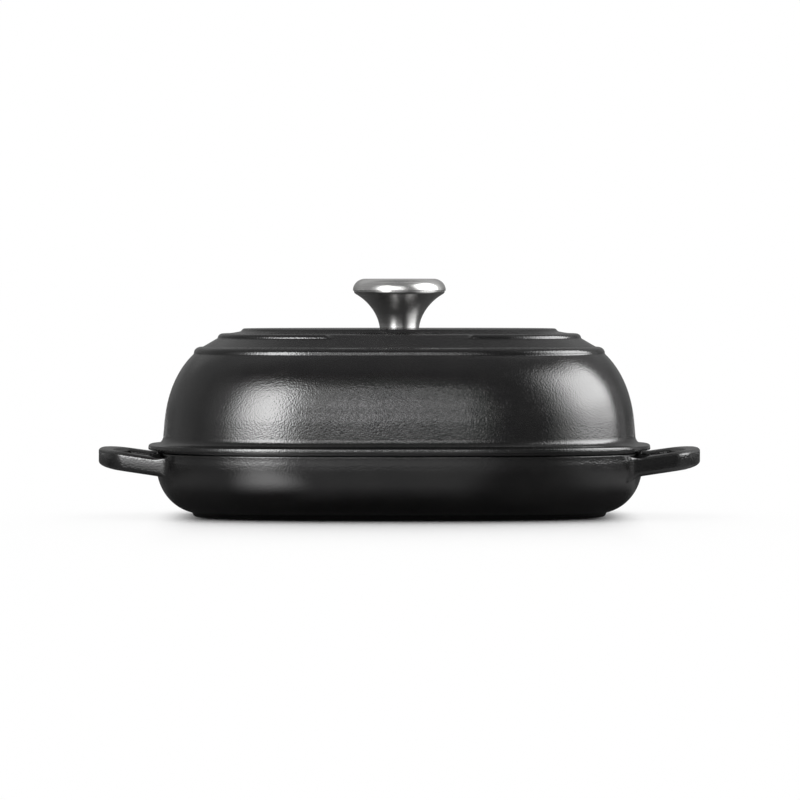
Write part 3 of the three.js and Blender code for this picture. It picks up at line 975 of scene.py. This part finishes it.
def makePanel(name, patch, p, glow):
    # a mesh that glows by its level * glow(p, u, v) and that only reflections see
    places, u, v = patch
    index = np.arange(u.size).reshape(u.shape)
    quads = np.stack([index[:-1, :-1], index[1:, :-1], index[1:, 1:], index[:-1, 1:]], axis=-1)
    quads = quads.reshape(-1, 4)
    mesh = bpy.data.meshes.new(name)
    mesh.from_pydata(places.reshape(-1, 3).tolist(), [], quads.tolist())
    layer = mesh.uv_layers.new(name="across_up")
    layer.data.foreach_set("uv", np.stack([u, v], axis=-1).reshape(-1, 2)[quads.ravel()].ravel())
    mesh.update()
    panel = bpy.data.objects.new(name, mesh)
    scene.collection.objects.link(panel)
    panel.visible_camera = panel.visible_diffuse = panel.visible_shadow = panel.visible_transmission = False
    material, wire = newMaterial(name + "_light")
    across, up = wire.place("UV").axes("X", "Y")
    light = {"Color": glow(p, across, up), "Strength": p["level"]}
    surface(wire, wire.node("ShaderNodeEmission", None, light))
    mesh.materials.append(material)


def bell(x, rise, fall):
    # rises from 0 to 1 over one stretch and falls back over another
    return x.ease(*rise) * (1 - x.ease(*fall))


def upright(p, v):
    # from the foot's share up to 1, then down to 0 at the top
    return (p["foot"] + (1 - p["foot"]) * v.ease(*p["footRise"])) * (1 - v.ease(*p["topFall"]))


# panels: pairs are the stretches of u or v over which a part of the glow rises or falls, and the base is the
# least glow, which covers the tent behind
leftSoftbox = {
    "azimuth": (-80, -17),
    "elevation": (-2.5, 50),
    "radius": 1.6,
    "steps": (24, 16),
    "level": 8.8,
    "base": 0.028,
    "wash": 0.03,  # share of the dim outer part
    "washRise": (0.0, 0.35),
    "main": 0.93,
    "mainRise": (0.33, 0.8),
    "edgeFall": (0.84, 0.99),
    "foot": 0.25,
    "footRise": (0.06, 0.24),
    "topFall": (0.6, 1.0),
}


def leftGlow(p, u, v):
    # (wash + main part) * fall at the inner edge * upright
    across = p["wash"] * u.ease(*p["washRise"]) + p["main"] * u.ease(*p["mainRise"])
    return p["base"] + across * (1 - u.ease(*p["edgeFall"])) * upright(p, v)


frontScrim = {
    "azimuth": (-20, 16),
    "elevation": (-2.5, 50),
    "radius": 1.7,
    "steps": (24, 16),
    "level": 2.0,
    "base": 0.065,
    "slant": 0.62,  # how much of the glow is lost from left to right
    "foot": 0.2,
    "footRise": (0.08, 0.22),
    "topFall": (0.58, 1.05),
    "weave": 0.95,  # depth of a coarse pattern, whose reflection the orange peel breaks up into grain
    "weaveRise": (0.06, 0.2),
    "weaveAcross": 18.8,
    "weaveUp": 27.5,
}


def scrimGlow(p, u, v):
    # slant * upright * two crossed sine waves
    across = 1 + p["weave"] * v.ease(*p["weaveRise"]) * u.maths("SINE", u * p["weaveAcross"])
    up = 1 + p["weave"] * v.maths("SINE", v * p["weaveUp"])
    return p["base"] + (1 - u * p["slant"]) * upright(p, v) * across * up


rightSoftbox = {
    "azimuth": (36, 114),
    "elevation": (-2.5, 62),
    "radius": 1.6,
    "steps": (24, 16),
    "level": 6.8,
    "base": 0.02,
    "innerRise": (0.0, 0.5),
    "outerFall": (0.8, 1.0),
    "sillRise": (0.04, 0.12),
    "foot": 0.55,
    "footRise": (0.18, 0.42),
    "topFall": (0.65, 1.0),
}


def rightGlow(p, u, v):
    # a bell across * a quick rise at the sill * upright
    return p["base"] + bell(u, p["innerRise"], p["outerFall"]) * v.ease(*p["sillRise"]) * upright(p, v)


frontTent = {
    "azimuth": (-130, 130),
    "elevation": (-12, 90),
    "radius": 6.0,
    "steps": (48, 32),
    "level": 0.27,
    "base": 0.5,
    "roof": 0.3,
    "roofRise": (0.6, 0.85),
    "left": 0.6,
    "leftFall": (0.1, 0.3),
    "right": 1.5,
    "rightRise": (0.8, 1.0),
}


def frontTentGlow(p, u, v):
    # a base with more at the roof and at both sides
    sides = p["left"] * (1 - u.ease(*p["leftFall"])) + p["right"] * u.ease(*p["rightRise"])
    return p["base"] + p["roof"] * v.ease(*p["roofRise"]) + sides


backTent = {
    "azimuth": (130, 230),
    "elevation": (-12, 90),
    "radius": 6.0,
    "steps": (32, 32),
    "level": 0.25,
    "base": 0.7,
    "low": 0.3,
    "lowRise": (0.14, 0.22),
    "band": 0.6,
    "bandRise": (0.3, 0.42),
    "bandFall": (0.6, 0.72),
    "roofLoss": 0.3,
    "roofRise": (0.5, 0.8),
}


def backTentGlow(p, u, v):
    # a base with more above the floor, a brighter band, and less at the roof
    low = p["base"] + p["low"] * v.ease(*p["lowRise"])
    return low + p["band"] * bell(v, p["bandRise"], p["bandFall"]) - p["roofLoss"] * v.ease(*p["roofRise"])


# floor card: a dim sheet over the floor that only reflections see, so that they show a painted dark
# reflection of the floor in place of the white one; next to the oven it is darker still, a painted shadow of
# the oven, and before the softboxes it carries their painted reflections
paintedFloorCard = {
    "near": 0.06,
    "far": 4.0,
    "steps": (73, 24),
    "level": 0.08,
    # base and baseRise: the painted shadow, the card's glow next to the oven and the stretch over which it
    # rises to full
    "base": 0.25,
    "baseRise": (0.08, 0.2),
    "spill": 21.0,  # level of the painted reflections of the softboxes, in shares of the card's own
    "spillRise": (0.14, 0.22),
    "spillLoss": 0.25,  # share lost farther out
    "spillFall": (0.3, 0.5),
    "main": ((0.375, 0.415), (0.42, 0.45)),
    "left": 0.09,
    "leftBell": ((0.22, 0.34), (0.375, 0.415)),
    "right": 0.17,
    "rightBell": ((0.59, 0.67), (0.78, 0.84)),
    "rightLoss": 0.45,
    "rightFall": (0.7, 0.78),
    "front": 0.12,
    "frontBell": ((0.42, 0.45), (0.53, 0.56)),
    "frontRise": (0.1, 0.19),
}


def cardPaintedShadeAndGleams(p, u, v):
    # a painted shadow of the oven, as a base that rises away from it, with painted reflections before the
    # softboxes and a fainter painted reflection in front
    base = p["base"] + (1 - p["base"]) * v.ease(*p["baseRise"])
    outwards = v.ease(*p["spillRise"]) - p["spillLoss"] * v.ease(*p["spillFall"])
    right = p["right"] * bell(u, *p["rightBell"]) * (1 - p["rightLoss"] * u.ease(*p["rightFall"]))
    paintedGleams = bell(u, *p["main"]) + p["left"] * bell(u, *p["leftBell"]) + right
    front = p["front"] * v.ease(*p["frontRise"]) * bell(u, *p["frontBell"])
    return base + p["spill"] * (outwards * paintedGleams + front)


makePanel("left_softbox", skyPatch(leftSoftbox), leftSoftbox, leftGlow)
makePanel("front_scrim", skyPatch(frontScrim), frontScrim, scrimGlow)
makePanel("right_softbox", skyPatch(rightSoftbox), rightSoftbox, rightGlow)
makePanel("front_tent", skyPatch(frontTent), frontTent, frontTentGlow)
makePanel("back_tent", skyPatch(backTent), backTent, backTentGlow)
makePanel("painted_floor_card", floorPatch(paintedFloorCard), paintedFloorCard, cardPaintedShadeAndGleams)


def makeFloor(s):
    # a plain white square; to the camera its shadow fades to white beside, before and behind the oven
    half = s["floorSize"] / 2
    mesh = bpy.data.meshes.new("floor")
    corners = np.array([[-1, -1, 0], [1, -1, 0], [1, 1, 0], [-1, 1, 0]]) * half
    corners = corners - np.array([0, 0, s["floorDrop"]])
    mesh.from_pydata(corners.tolist(), [], [[0, 1, 2, 3]])
    floor = bpy.data.objects.new("floor", mesh)
    scene.collection.objects.link(floor)
    material, wire = newMaterial("white_floor")
    across, deep = wire.place("Object").axes("X", "Y")
    beside = across.maths("ABSOLUTE", across).ease(*s["shadowEnds"])
    beside = beside.maths("MAXIMUM", beside, deep.maths("ABSOLUTE", deep).ease(*s["shadowDepth"]))
    looked = wire.node("ShaderNodeLightPath", output="Is Camera Ray")
    surface(wire, wire.node("ShaderNodeMixShader", None, {
        0: looked * beside * s["shadowFade"],
        1: wire.node("ShaderNodeBsdfDiffuse", None, {"Color": white}),
        2: wire.node("ShaderNodeEmission", None, {"Color": white}),
    }))
    mesh.materials.append(material)


def makeWorld(s):
    # white where the camera, a reflection or a see-through ray looks; for everything else the ambient level,
    # which rises towards the back, and falls towards the front and with the square of the way to a side.
    # That square averages 1/4 over what a level face sees, and the level makes up for it on the floor.
    world = bpy.data.worlds.new("white_surround")
    scene.world = world
    world.use_nodes = True
    world.node_tree.nodes.clear()
    wire = Wire(world.node_tree)
    paths = wire.node("ShaderNodeLightPath").others("Is Camera Ray", "Is Glossy Ray", "Is Transmission Ray")
    looked = wire.maths("MAXIMUM", paths[0], wire.maths("MAXIMUM", paths[1], paths[2]))
    side, back = wire.place("Generated").axes("X", "Y")
    level = s["ambient"] / (1 - s["sideways"] / 4)
    ambient = level * (1 + s["fromBehind"] * back) * (1 - s["sideways"] * side * side)
    strength = looked + (1 - looked) * ambient
    sky = wire.node("ShaderNodeBackground", None, {"Color": white, "Strength": strength})
    wire.node("ShaderNodeOutputWorld", None, {"Surface": sky})


makeFloor(stageLook)
makeWorld(stageLook)
print("stage lit")
